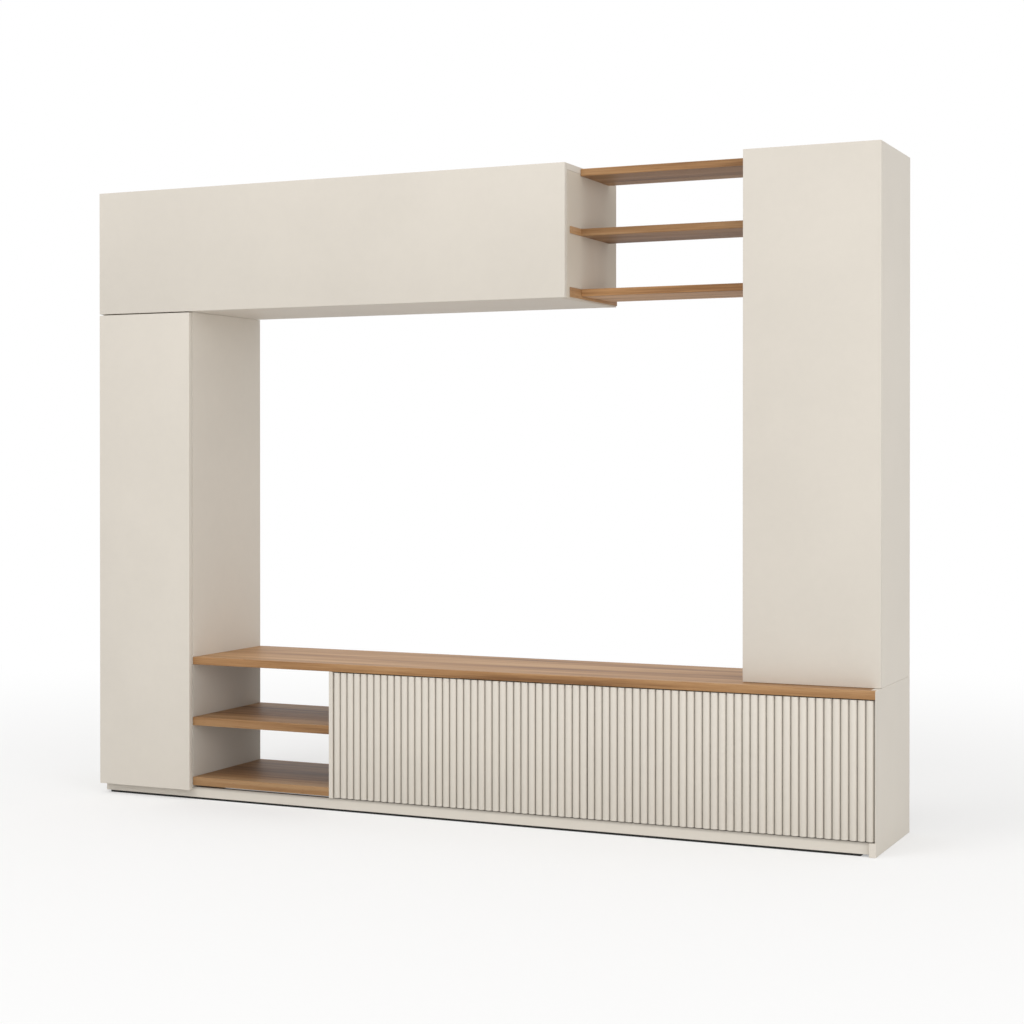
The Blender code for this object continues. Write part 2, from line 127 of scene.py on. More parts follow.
def mixShader(tree, place, factor, first, second):
    node = addNode(tree, "ShaderNodeMixShader", place)
    for index, source in enumerate((factor, first, second)):
        join(tree, source, node.inputs[index])
    return node.outputs[0]


def linear(red, green, blue):
    # From a colour of 0 to 255 as a screen shows it
    def one(value):
        value = value / 255
        return value / 12.92 if value <= 0.04045 else ((value + 0.055) / 1.055) ** 2.4
    return (one(red), one(green), one(blue), 1.0)


# Scale, detail and roughness of each noise
lacquerNoise = {
    "slow": (2.2, 3.0, 0.55),
    "mottle": (38.0, 4.0, 0.6),
    "peel": (620.0, 2.0, 0.5),
    "mottleShare": 0.35,        # of the slow drift
    "glossDrift": 0.03,
}


def makeLacquerGroup():
    # Sprayed lacquer: slow drift of tone, fine mottle and a faint orange peel
    look = lacquerNoise
    group, entry, leave = newGroup(
        "lacquerSkin", {"Vector": "Vector", "Colour": "Color", "Drift": "Float", "Gloss": "Float"},
        {"Colour": "Color", "Roughness": "Float", "Height": "Float"})
    vector = entry.outputs["Vector"]
    slow = noiseNode(group, (-600, 300), vector, *look["slow"])
    mottle = noiseNode(group, (-600, 100), vector, *look["mottle"])
    peel = noiseNode(group, (-600, -150), vector, *look["peel"])
    share, glossDrift = look["mottleShare"], look["glossDrift"]
    slowMask = remap(group, (-380, 300), slow, 0.32, 0.68, -1.0, 1.0)
    mottleMask = remap(group, (-380, 100), mottle, 0.3, 0.7, -share, share)
    drift = mathNode(group, "ADD", (-180, 220), slowMask, mottleMask)
    amount = mathNode(group, "MULTIPLY", (0, 220), drift, entry.outputs["Drift"])
    factor = mathNode(group, "ADD", (160, 220), amount, 1.0)
    scale = addNode(group, "ShaderNodeVectorMath", (340, 220), operation="SCALE")
    join(group, entry.outputs["Colour"], scale.inputs[0])
    join(group, factor, scale.inputs["Scale"])
    join(group, scale.outputs[0], leave.inputs["Colour"])
    gloss = remap(group, (-380, -60), mottle, 0.3, 0.7, -glossDrift, glossDrift)
    gloss = mathNode(group, "ADD", (0, -60), gloss, entry.outputs["Gloss"])
    join(group, gloss, leave.inputs["Roughness"])
    join(group, peel, leave.inputs["Height"])
    return group


# Stretch of each layer, then the detail, roughness and distortion of its noise
grainNoise = {
    "broad": ((0.75, 13.0, 13.0), 2.0, 0.5, 0.6),
    "band": ((1.6, 46.0, 46.0), 3.0, 0.55, 0.3),
    "fibre": ((7.0, 320.0, 320.0), 3.0, 0.6, 0.0),
    "pore": ((34.0, 900.0, 900.0), 2.0, 0.5, 0.0),
    "shares": (0.42, 0.36, 0.22),       # of bands, streaks and fibres in the tone
    "poreDepth": 0.5,
    "glossDrift": 0.16,
}


def makeGrainGroup():
    # Oak cut along its length: broad bands, streaks, fibres and short pores, all along X of the vector
    look = grainNoise
    group, entry, leave = newGroup(
        "oakGrain",
        {"Vector": "Vector", "Dark": "Color", "Middle": "Color", "Light": "Color", "Gloss": "Float"},
        {"Colour": "Color", "Roughness": "Float", "Height": "Float"})

    def layer(name, row):
        stretch, detail, roughness, distortion = look[name]
        node = addNode(group, "ShaderNodeMapping", (-680, row))
        node.inputs["Scale"].default_value = stretch
        join(group, entry.outputs["Vector"], node.inputs["Vector"])
        return noiseNode(group, (-480, row), node.outputs[0], 1.0, detail, roughness, distortion)

    fibre, pore = layer("fibre", 20), layer("pore", -200)
    parts = []
    for number, source in enumerate((layer("broad", 420), layer("band", 220), fibre)):
        place = (-260, 420 - 200 * number)
        parts.append(mathNode(group, "MULTIPLY", place, source, look["shares"][number]))
    mixed = mathNode(group, "ADD", (-80, 300), parts[0], parts[1])
    mixed = mathNode(group, "ADD", (60, 200), mixed, parts[2])
    lightMask = remap(group, (220, 320), mixed, 0.47, 0.62, 0.0, 1.0)
    darkMask = remap(group, (220, 60), mixed, 0.36, 0.5, 1.0, 0.0)
    poreMask = remap(group, (220, -160), pore, 0.62, 0.72, 0.0, look["poreDepth"])
    colour = mixNode(group, (400, 320), lightMask, entry.outputs["Middle"], entry.outputs["Light"])
    colour = mixNode(group, (560, 200), darkMask, colour, entry.outputs["Dark"])
    colour = mixNode(group, (720, 120), poreMask, colour, entry.outputs["Dark"])
    join(group, colour, leave.inputs["Colour"])
    gloss = mathNode(group, "MULTIPLY", (220, -340), fibre, look["glossDrift"])
    gloss = mathNode(group, "ADD", (400, -340), gloss, entry.outputs["Gloss"])
    gloss = mathNode(group, "SUBTRACT", (560, -340), gloss, look["glossDrift"] / 2)
    join(group, gloss, leave.inputs["Roughness"])
    height = mathNode(group, "SUBTRACT", (400, -200), fibre, poreMask)
    join(group, height, leave.inputs["Height"])
    return group


def makeEdgeGroup():
    # Mask of a board's outer edges, where finish is thinnest and catches the light: the lighter edge
    # colour is partly wear and partly a painted highlight
    group, entry, leave = newGroup(
        "edgeMask", {"Vector": "Vector", "Reach": "Float", "Break": "Float"}, {"Mask": "Float"})
    bevel = addNode(group, "ShaderNodeBevel", (-600, 200), samples=4)
    join(group, entry.outputs["Reach"], bevel.inputs["Radius"])
    geometry = addNode(group, "ShaderNodeNewGeometry", (-600, -50))
    dot = addNode(group, "ShaderNodeVectorMath", (-380, 150), operation="DOT_PRODUCT")
    join(group, bevel.outputs[0], dot.inputs[0])
    join(group, geometry.outputs["Normal"], dot.inputs[1])
    bent = mathNode(group, "SUBTRACT", (-200, 150), 1.0, dot.outputs["Value"])
    edge = remap(group, (0, 150), bent, 0.01, 0.12, 0.0, 1.0)
    broken = addNode(group, "ShaderNodeTexNoise", (-380, -200))
    setInputs(broken, {"Detail": 3.0})
    join(group, entry.outputs["Vector"], broken.inputs["Vector"])
    join(group, entry.outputs["Break"], broken.inputs["Scale"])
    patchy = remap(group, (0, -150), broken.outputs[0], 0.35, 0.65, 0.35, 1.0)
    join(group, mathNode(group, "MULTIPLY", (220, 50), edge, patchy), leave.inputs["Mask"])
    return group


lacquerGroup = makeLacquerGroup()
grainGroup = makeGrainGroup()
edgeGroup = makeEdgeGroup()


def placeGroup(tree, group, place, values):
    return setInputs(addNode(tree, "ShaderNodeGroup", place, node_tree=group), values)


def startMaterial(name, specular, metallic=0.0):
    material = bpy.data.materials.new(name)
    material.use_nodes = True
    tree = material.node_tree
    shader = tree.nodes["Principled BSDF"]
    setInputs(shader, {"Metallic": metallic, "Specular IOR Level": specular})
    coordinates = addNode(tree, "ShaderNodeTexCoord", (-1300, 0))
    mapping = addNode(tree, "ShaderNodeMapping", (-1100, 0))
    join(tree, coordinates.outputs["Object"], mapping.inputs["Vector"])
    return material, tree, shader, mapping


def addBump(tree, shader, height, distance, strength):
    bump = addNode(tree, "ShaderNodeBump", (-200, -300))
    setInputs(bump, {"Strength": strength, "Distance": distance})
    join(tree, height, bump.inputs["Height"])
    join(tree, bump.outputs[0], shader.inputs["Normal"])


def wornAndHighlitEdges(tree, look, mapping, colour):
    # Lighter outer edges: partly wear, partly a painted highlight
    edge = placeGroup(tree, edgeGroup, (-800, -300), {
        "Reach": look["edgeReach"], "Break": look["edgeBreak"]})
    join(tree, mapping.outputs[0], edge.inputs["Vector"])
    amount = mathNode(tree, "MULTIPLY", (-600, -300), edge.outputs[0], look["edgeAmount"])
    return mixNode(tree, (-400, 0), amount, colour, look["edgeWearAndHighlight"])


def lacquerMaterial(name, look, offset, shade=None):
    # The painted shade is an axis, where the darker paint standing in for shade starts and is full, how
    # dark it gets, and where it ends
    material, tree, shader, mapping = startMaterial(name, look["specular"])
    mapping.inputs["Location"].default_value = offset
    skin = placeGroup(tree, lacquerGroup, (-800, 0), {
        "Colour": look["colour"], "Drift": look["drift"], "Gloss": look["gloss"]})
    join(tree, mapping.outputs[0], skin.inputs["Vector"])
    paint = wornAndHighlitEdges(tree, look, mapping, skin.outputs["Colour"])
    if shade:
        axis, start, full, amount, end = shade
        coordinates = addNode(tree, "ShaderNodeTexCoord", (-1300, 300))
        parts = addNode(tree, "ShaderNodeSeparateXYZ", (-1100, 300))
        join(tree, coordinates.outputs["Object"], parts.inputs[0])
        inward = remap(tree, (-900, 400), parts.outputs[axis], start, full, 0.0, amount)
        ended = remap(tree, (-900, 200), parts.outputs[axis], end, end + look["shadeFade"], 1.0, 0.0)
        shadow = mathNode(tree, "MULTIPLY", (-700, 300), inward, ended)
        darker = addNode(tree, "ShaderNodeVectorMath", (-200, 200), operation="SCALE")
        join(tree, paint, darker.inputs[0])
        join(tree, mathNode(tree, "SUBTRACT", (-520, 300), 1.0, shadow), darker.inputs["Scale"])
        paint = darker.outputs[0]
    join(tree, paint, shader.inputs["Base Color"])
    join(tree, skin.outputs["Roughness"], shader.inputs["Roughness"])
    addBump(tree, shader, skin.outputs["Height"], look["bump"], look["peel"])
    return material


def oakMaterial(name, look, offset, turned):
    material, tree, shader, mapping = startMaterial(name, look["specular"])
    mapping.inputs["Location"].default_value = offset
    if turned:
        mapping.inputs["Rotation"].default_value = (0.0, 0.0, math.pi / 2)
    grain = placeGroup(tree, grainGroup, (-800, 0), {
        "Dark": look["dark"], "Middle": look["middle"], "Light": look["light"], "Gloss": look["gloss"]})
    join(tree, mapping.outputs[0], grain.inputs["Vector"])
    join(tree, wornAndHighlitEdges(tree, look, mapping, grain.outputs["Colour"]), shader.inputs["Base Color"])
    join(tree, grain.outputs["Roughness"], shader.inputs["Roughness"])
    addBump(tree, shader, grain.outputs["Height"], look["bump"], look["relief"])
    return material


def plainMaterial(name, look):
    material, tree, shader, mapping = startMaterial(name, look["specular"], look["metallic"])
    mapping.inputs["Scale"].default_value = look["stretch"]
    tone = noiseNode(tree, (-800, 0), mapping.outputs[0], look["scale"], 3.0, 0.6)
    factor = remap(tree, (-600, 0), tone, 0.3, 0.7, 0.0, 1.0)
    colour = mixNode(tree, (-400, 0), factor, look["colour"], look["second"])
    join(tree, colour, shader.inputs["Base Color"])
    low, high = look["gloss"]
    join(tree, remap(tree, (-600, -200), tone, 0.3, 0.7, low, high), shader.inputs["Roughness"])
    addBump(tree, shader, tone, look["bump"], look["relief"])
    return material


creamLook = {
    "colour": linear(222, 215, 204),
    "edgeWearAndHighlight": linear(232, 226, 216),
    "drift": 0.018,
    "gloss": 0.52,
    "specular": 0.3,
    "edgeReach": 0.0014,
    "edgeBreak": 25.0,
    "edgeAmount": 0.4,
    "bump": 0.0002,
    "peel": 0.10,
    "shadeFade": 0.0015,
}
oakLook = {
    "dark": linear(124, 87, 53),
    "middle": linear(167, 125, 83),
    "light": linear(190, 151, 109),
    "edgeWearAndHighlight": linear(190, 151, 109),
    "gloss": 0.5,
    "specular": 0.28,
    "edgeReach": 0.0014,
    "edgeBreak": 25.0,
    "edgeAmount": 0.35,
    "bump": 0.0002,
    "relief": 0.25,
}
runnerLook = {
    "colour": linear(22, 21, 20),
    "second": linear(34, 33, 31),
    "metallic": 0.0,
    "specular": 0.4,
    "stretch": (1.0, 1.0, 1.0),
    "scale": 160.0,
    "gloss": (0.55, 0.65),      # lowest and highest roughness
    "bump": 0.0001,
    "relief": 0.3,
}
strutPaintLook = {
    "colour": linear(24, 24, 25),
    "second": linear(36, 36, 37),
    "metallic": 0.0,
    "specular": 0.5,
    "stretch": (1.0, 1.0, 0.2),
    "scale": 240.0,
    "gloss": (0.30, 0.40),
    "bump": 0.0001,
    "relief": 0.15,
}
steelLook = {
    "colour": linear(176, 177, 178),
    "second": linear(200, 200, 199),
    "metallic": 1.0,
    "specular": 0.5,
    "stretch": (1.0, 1.0, 0.1),
    "scale": 300.0,
    "gloss": (0.27, 0.37),
    "bump": 0.0001,
    "relief": 0.12,
}

runnerFinish = plainMaterial("runnerBlack", runnerLook)
strutFinish = plainMaterial("strutBlack", strutPaintLook)
steelFinish = plainMaterial("nickelSteel", steelLook)
plainFinishes = {"black_plastic": runnerFinish, "strut_black": strutFinish, "steel": steelFinish}
print("finishes made")


def dress(node, material):
    piece = nodes[node]
    piece.data.materials.clear()
    piece.data.materials.append(material)


# Tone of single boards: the niche shelves are painted darker as painted shade inside the niche, the
# bridge's middle shelf darker, its low shelf lighter and the bench top a touch lighter
boardTonesAndShade = {
    "niche_shelf_middle": 0.84,
    "niche_shelf_bottom": 0.80,
    "upper_shelf_middle": 0.82,
    "upper_shelf_low": 1.20,
    "bench_top": 1.03,
}
turnedBoards = ("bridge_strip_low", "bridge_strip_middle")      # their length runs to the back
patternStep = (0.37, 0.61, 0.23)        # moves the pattern from each node to the next
# Painted shade: the bridge's right side gets a darker, warmer cream for the shadow between the shelves
paintedShadeCream = linear(212, 202, 187)
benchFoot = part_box("bench_top")[0][2]
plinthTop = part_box("plinth_front")[1][2]
# Painted shade: darker paint on the wall of the open niche under the bench, and a painted shadow on the
# plinth under the fronts
paintedShades = {
    "left_tower_side_right": ("Z", 0.0, 0.001, 0.20, benchFoot),
    "plinth_front": ("Z", plinthTop - 0.0095, plinthTop, 0.34, plinthTop + 0.001),
}


def tonedOak(tone):
    look = dict(oakLook)
    for key in ("dark", "middle", "light", "edgeWearAndHighlight"):
        look[key] = tuple(part * tone for part in oakLook[key][:3]) + (1.0,)
    return look


for number, name in enumerate(sorted(nodes)):
    slotName = nodes[name].data.materials[0].name.split(".")[0]
    shift = tuple(step * number for step in patternStep)
    if slotName == "cream":
        look = dict(creamLook, colour=paintedShadeCream) if name == "bridge_side_right" else creamLook
        dress(name, lacquerMaterial("cream_" + name, look, shift, paintedShades.get(name)))
    elif slotName == "oak":
        look = tonedOak(boardTonesAndShade.get(name, 1.0))
        dress(name, oakMaterial("oak_" + name, look, shift, name in turnedBoards))
    else:
        dress(name, plainFinishes[slotName])
print("CAD nodes dressed")

mergeReach = 0.000002       # points nearer than this are one
planeReach = 0.00001        # faces nearer than this lie in one plane


def newVerts(made):
    return [item for item in made["geom"] if isinstance(item, bmesh.types.BMVert)]


def edgesOf(verts):
    return list({line for vert in verts for line in vert.link_edges})


def cutAcross(bm, faces, axis, offset, reach):
    # Cuts the faces where a plane across the axis meets them
    parts = set(faces)
    for face in faces:
        parts.update(face.edges)
        parts.update(face.verts)
    way = Vector((0.0, 0.0, 0.0))
    way[axis] = 1.0
    bmesh.ops.bisect_plane(bm, geom=list(parts), plane_co=way * offset, plane_no=way, dist=reach)


def bevelEdges(bm, edges, offset, segments, clamp=False):
    bmesh.ops.bevel(bm, geom=edges, offset=offset, segments=segments, profile=0.5, affect="EDGES",
                    material=-1, clamp_overlap=clamp)


def turnOut(bm):
    # One closed shell, with its faces outwards
    bmesh.ops.remove_doubles(bm, verts=bm.verts, dist=mergeReach)
    bmesh.ops.dissolve_degenerate(bm, dist=mergeReach, edges=bm.edges)
    bmesh.ops.recalc_face_normals(bm, faces=bm.faces)
    if bm.calc_volume(signed=True) < 0.0:
        bmesh.ops.reverse_faces(bm, faces=bm.faces)
    bm.normal_update()


def makePiece(bm, name, material, sharpAngle=38.0):
    mesh = bpy.data.meshes.new(name)
    bm.to_mesh(mesh)
    bm.free()
    mesh.shade_smooth()
    mesh.set_sharp_from_angle(angle=math.radians(sharpAngle))
    mesh.materials.append(material)
    piece = bpy.data.objects.new(name, mesh)
    bpy.context.scene.collection.objects.link(piece)
    return piece


def keepMesh(bm, name):
    # A mesh that is copied into other pieces
    mesh = bpy.data.meshes.new(name)
    bm.to_mesh(mesh)
    bm.free()
    return mesh


def addCopy(bm, mesh, place):
    before = set(bm.verts)
    bm.from_mesh(mesh)
    bmesh.ops.transform(bm, matrix=place, verts=[vert for vert in bm.verts if vert not in before])


def addDrawn(bm, drawn, place=Matrix.Identity(4)):
    mesh = keepMesh(drawn, "drawn")
    addCopy(bm, mesh, place)
    bpy.data.meshes.remove(mesh)


def addBlock(bm, low, high, edge=0.0, segments=2):
    low, high = Vector(low), Vector(high)
    place = Matrix.LocRotScale((low + high) / 2, None, high - low)
    made = bmesh.ops.create_cube(bm, size=1.0, matrix=place)
    if edge > 0.0:
        bevelEdges(bm, edgesOf(made["verts"]), edge, segments)


def addPlate(bm, low, high, corner, edge):
    # A thin plate in X and Y with round corners and a broken rim
    plate = bmesh.new()
    addBlock(plate, low, high)
    half = (high[2] - low[2]) / 2
    upright = [line for line in plate.edges if abs((line.verts[0].co - line.verts[1].co).z) > half]
    bevelEdges(plate, upright, corner, 5)
    rim = [line for line in plate.edges if min(vert.co.z for vert in line.verts) > high[2] - edge / 4]
    bevelEdges(plate, rim, edge, 2)
    addDrawn(bm, plate)


def turnedShape(profile, steps):
    # Points of radius and height, spun round Z
    bm = bmesh.new()
    points = [bm.verts.new((radius, 0.0, height)) for radius, height in profile]
    for first, second in zip(points, points[1:]):
        bm.edges.new((first, second))
    bmesh.ops.spin(bm, geom=bm.verts[:] + bm.edges[:], cent=(0.0, 0.0, 0.0), axis=(0.0, 0.0, 1.0),
                   angle=2 * math.pi, steps=steps, use_merge=True)
    turnOut(bm)
    return bm


def addTurned(bm, profile, steps, place=Matrix.Identity(4)):
    addDrawn(bm, turnedShape(profile, steps), place)


screwLook = {
    "radius": 0.0037,
    "height": 0.0011,
    "dome": ((0.62, 0.97), (0.86, 0.72), (1.0, 0.3)),       # shares of the radius and the height
    "cap": 0.75,        # the slot lies above this share of the height
    "shank": 0.0008,        # goes into what it holds
    "slotWidth": 0.0008,
    "slotLength": 0.0038,
    "slotDepth": 0.0007,
    "cutReach": 0.0000001,
}


def makeScrewMesh(look):
    # Low domed head with a cross sunk in it
    radius, height, shank = look["radius"], look["height"], look["shank"]
    wide, long = look["slotWidth"] / 2, look["slotLength"] / 2
    dome = [(radius * out, height * up) for out, up in look["dome"]]
    profile = [(0.0, height)] + dome + [(radius, 0.0), (radius / 2, -shank), (0.0, -shank)]
    bm = turnedShape(profile, 20)
    for axis in (0, 1):
        for reach in (wide, long):
            for side in (-1, 1):
                top = [face for face in bm.faces if face.calc_center_median().z > height * look["cap"]]
                cutAcross(bm, top, axis, reach * side, look["cutReach"])
    slot = []
    for face in bm.faces:
        middle = face.calc_center_median()
        inside = middle.z > height * look["cap"] and max(abs(middle.x), abs(middle.y)) < long
        if inside and min(abs(middle.x), abs(middle.y)) < wide:
            slot.append(face)
    sunk = bmesh.ops.extrude_face_region(bm, geom=slot)
    bmesh.ops.delete(bm, geom=slot, context="FACES")
    bmesh.ops.translate(bm, verts=newVerts(sunk), vec=(0.0, 0.0, -look["slotDepth"]))
    turnOut(bm)
    return keepMesh(bm, "screwHead")


screwMesh = makeScrewMesh(screwLook)

boardLook = {
    "edge": 0.0010,
    "segments": 3,
    "seam": 0.0020,     # gap that shows between a front and the cabinet
    "seamDepth": 0.0026,
}
boreLook = {
    "radius": 0.0175,
    "depth": 0.0110,
    "fluteDepth": 0.0085,       # the fluted fronts are thinner at their grooves
    "patch": 0.0440,
    "sides": 32,
    "inset": 0.0225,            # centre, from the hinged edge
    "cutReach": 0.00002,
}
fluteLook = {
    "ribs": 36,
    "groove": 0.0022,
    "rise": 0.0086,
    "segments": 14,
    "rim": 0.0004,
    "shade": 0.36,              # painted shade: how much darker the paint is made down in the grooves
    "shadeReach": 0.0052,
    "shadeEnd": 0.0010,
    "offset": (2.1, 0.4, 1.3),      # of the pattern, the first one for each front
    "sharpAngle": 50.0,
}
hingeSeat = {"gap": 0.0003, "front": 0.0006}


def hingePlace(node, turn):
    # The corner where an arm's panel meets the front, with Z away from the panel and Y to the back
    low, high = Vector(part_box(node)[0]), Vector(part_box(node)[1])
    away = Matrix.Rotation(turn, 3, "Y") @ Vector((0.0, 0.0, 1.0))
    seat = (low + high) / 2
    thickness = abs((high - low).dot(away))
    seat -= away * (thickness / 2 + hingeSeat["gap"])
    seat.y = low.y - hingeSeat["front"]
    return Matrix.Translation(seat) @ Matrix.Rotation(turn, 4, "Y")


def localRange(place, node):
    low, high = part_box(node)
    back = place.inverted()
    corners = [back @ Vector((x, y, z)) for x in (low[0], high[0]) for y in (low[1], high[1])
               for z in (low[2], high[2])]
    return [(min(values), max(values)) for values in zip(*corners)]


# How far each front's hinges are turned round Y, and how many it has
fronts = {
    "left_door": (math.pi / 2, 3),
    "right_door": (-math.pi / 2, 3),
    "bridge_flap": (math.pi, 2),
    "fluted_flap_left": (0.0, 2),
    "fluted_flap_right": (0.0, 2),
}
hingePlaces = {}
for front, (turn, count) in fronts.items():
    for number in range(1, count + 1):
        hinge = front + "_hinge_" + str(number)
        hingePlaces[hinge] = (front, hingePlace(hinge, turn))


def cupCentre(front, place):
    rangeY, rangeZ = localRange(place, front)[1:]
    return place @ Vector((0.0, rangeY[1], rangeZ[0] + boreLook["inset"]))


def boreBack(bm, backY, centre, depth):
    # Frees a square patch of the back, turns it into a ring round a hole, and sinks the hole
    half = boreLook["patch"] / 2
    for axis in (0, 2):
        for side in (-1, 1):
            back = []
            for face in bm.faces:
                if face.normal.y > 0.99 and abs(face.verts[0].co.y - backY) < planeReach:
                    back.append(face)
            cutAcross(bm, back, axis, centre[axis] + half * side, boreLook["cutReach"])
            bm.normal_update()
    patch = []
    for face in bm.faces:
        offset = face.calc_center_median() - centre
        if face.normal.y > 0.99 and offset.length < half / 2:
            patch.append(face)
    rim = [line for face in patch for line in face.edges]
    bmesh.ops.delete(bm, geom=patch, context="FACES_ONLY")
    sides = boreLook["sides"]
    bmesh.ops.subdivide_edges(bm, edges=rim, cuts=sides // 4 - 1)
    outer = [line for line in bm.edges if line.is_boundary]
    place = Matrix.Translation(centre) @ Matrix.Rotation(math.pi / 2, 4, "X")
    ring = bmesh.ops.create_circle(bm, segments=sides, radius=boreLook["radius"], matrix=place)
    inner = edgesOf(ring["verts"])
    bmesh.ops.bridge_loops(bm, edges=outer + inner)
    wall = bmesh.ops.extrude_edge_only(bm, edges=inner)
    sunk = newVerts(wall)
    bmesh.ops.translate(bm, verts=sunk, vec=(0.0, -depth, 0.0))
    floor = [item for item in wall["geom"] if isinstance(item, bmesh.types.BMEdge)
             and all(vert in sunk for vert in item.verts)]
    bmesh.ops.contextual_create(bm, geom=floor)
    bm.normal_update()


def boreCups(bm, front, depth):
    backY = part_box(front)[1][1]
    bmesh.ops.recalc_face_normals(bm, faces=bm.faces)
    bm.normal_update()
    for hinge, (owner, place) in hingePlaces.items():
        if owner == front:
            boreBack(bm, backY, cupCentre(front, place), depth)


def makeDoor(front, material):
    low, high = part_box(front)
    bm = bmesh.new()
    shallow = Vector(high) - Vector((0.0, boardLook["seam"], 0.0))
    addBlock(bm, low, shallow, boardLook["edge"], boardLook["segments"])
    back = [face for face in bm.faces if face.normal.y > 0.999]
    bmesh.ops.inset_region(bm, faces=back, thickness=boardLook["seamDepth"] - boardLook["edge"])
    raised = bmesh.ops.extrude_face_region(bm, geom=back)
    bmesh.ops.delete(bm, geom=back, context="FACES")
    for vert in newVerts(raised):
        vert.co.y = high[1]
    bm.normal_update()
    boreCups(bm, front, boreLook["depth"])
    turnOut(bm)
    piece = makePiece(bm, front + "_board", material)
    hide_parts(front)
    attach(piece, front)


def makeFlutedFront(front, firstGroove, material):
    # Half-round ribs between narrow grooves: their plan is drawn at the foot and then raised
    low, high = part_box(front)
    look = fluteLook
    joint = (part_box("fluted_flap_left")[1][0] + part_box("fluted_flap_right")[0][0]) / 2
    pitch = (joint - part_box("fluted_flap_left")[0][0]) / look["ribs"]
    half = (pitch - look["groove"]) / 2
    grooveY = low[1] + look["rise"]
    bm = bmesh.new()
    start = bm.verts.new((-half, 0.0, 0.0))
    bmesh.ops.spin(bm, geom=[start], cent=(0.0, 0.0, 0.0), axis=(0.0, 0.0, 1.0), angle=math.pi,
                   steps=look["segments"])
    bmesh.ops.scale(bm, verts=bm.verts, vec=(1.0, look["rise"] / half, 1.0))
    last = max(bm.verts, key=lambda vert: vert.co.x)
    gap = bmesh.ops.extrude_vert_indiv(bm, verts=[last])
    bmesh.ops.translate(bm, verts=gap["verts"], vec=(look["groove"], 0.0, 0.0))
    bmesh.ops.translate(bm, verts=bm.verts, vec=(firstGroove + pitch / 2, grooveY, low[2]))
    rib = bm.verts[:] + bm.edges[:]
    for number in range(1, look["ribs"]):
        made = bmesh.ops.duplicate(bm, geom=rib)
        bmesh.ops.translate(bm, verts=newVerts(made), vec=(pitch * number, 0.0, 0.0))
    bmesh.ops.remove_doubles(bm, verts=bm.verts, dist=planeReach)
    ends = [vert for vert in bm.verts if len(vert.link_edges) == 1]
    left = min(ends, key=lambda vert: vert.co.x)
    right = max(ends, key=lambda vert: vert.co.x)
    right.co.x = high[0]        # the last groove runs out to the end
    corner = bmesh.ops.extrude_vert_indiv(bm, verts=[left])
    corner["verts"][0].co.x = low[0]
    rear = bmesh.ops.extrude_vert_indiv(bm, verts=[corner["verts"][0], right])
    for vert in rear["verts"]:
        vert.co.y = high[1]
    bm.edges.new(rear["verts"])
    bmesh.ops.contextual_create(bm, geom=bm.edges[:])
    bmesh.ops.remove_doubles(bm, verts=bm.verts, dist=mergeReach)
    drawn = bmesh.ops.extrude_face_region(bm, geom=bm.faces[:])
    bmesh.ops.translate(bm, verts=newVerts(drawn), vec=(0.0, 0.0, high[2] - low[2]))
    bmesh.ops.recalc_face_normals(bm, faces=bm.faces)
    rims = []
    for line in bm.edges:
        level = abs(line.verts[0].co.z - line.verts[1].co.z) < planeReach
        if level and min(vert.co.y for vert in line.verts) < grooveY + planeReach:
            rims.append(line)
    bevelEdges(bm, rims, look["rim"], 2, clamp=True)
    boreCups(bm, front, boreLook["fluteDepth"])
    turnOut(bm)
    piece = makePiece(bm, front + "_front", material, look["sharpAngle"])
    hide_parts(front)
    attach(piece, front)


for front in ("left_door", "right_door", "bridge_flap"):
    makeDoor(front, nodes[front].data.materials[0])
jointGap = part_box("fluted_flap_right")[0][0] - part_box("fluted_flap_left")[1][0]
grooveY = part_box("fluted_flap_left")[0][1] + fluteLook["rise"]
# Painted shade down in the grooves of the fluted fronts
paintedGrooveShade = ("Y", grooveY - fluteLook["shadeReach"], grooveY, fluteLook["shade"],
               grooveY + fluteLook["shadeEnd"])
for number, front in enumerate(("fluted_flap_left", "fluted_flap_right")):
    x, y, z = fluteLook["offset"]
    finish = lacquerMaterial("creamFlutes" + str(number), creamLook, (x * number, y, z), paintedGrooveShade)
    makeFlutedFront(front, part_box(front)[0][0] - jointGap / 2 * number, finish)
print("doors and fluted fronts made")


hingeLook = {
    "width": 0.0130,
    # Depth and height of the arm's corners
    "outline": ((0.0006, 0.0036), (0.0006, 0.0092), (0.0070, 0.0119), (0.0190, 0.0139),
                (0.0440, 0.0135), (0.0570, 0.0108), (0.0620, 0.0068), (0.0620, 0.0022),
                (0.0210, 0.0022), (0.0170, 0.0036)),
    "armEdge": 0.0008,
    "plateWidth": 0.0480,
    "plateFront": 0.0260,
    "plateDepth": 0.0200,
    "plateHeight": 0.0030,
    "plateCorner": 0.0070,
    "plateEdge": 0.0006,
    "plateScrew": 0.0170,       # from the middle, to each side
    "armScrews": (0.0290, 0.0480),
}
cupLook = {
    "floor": (0.0150, 0.0006),      # radius, and height over the cup's foot
    "wall": (0.0156, 0.0014),
    "neck": (0.0158, -0.0010),      # radius, and height over the front's back
    "mouth": 0.0162,
    "outside": 0.0172,
    "shell": 0.0003,            # thickness of the sheet under the floor
    "clearance": 0.0006,        # left in the hole under the cup
    "proud": 0.0002,
    "sunk": 0.0005,
    "ring": 0.0190,
    "wingHalf": 0.0290,
    "wingLow": 0.0020,
    "wingHigh": 0.0175,
    "sides": 64,
    "screw": (0.0240, 0.0095),
    "lever": (0.0048, 0.0060, 0.0110),      # half width, and reach to each side of the cup's middle
    "leverFoot": 0.0010,
    "leverSunk": 0.0016,
    "leverEdge": 0.0007,
    "pin": 0.0013,
    "pinGap": 0.0006,
    "pinInset": 0.0020,
}


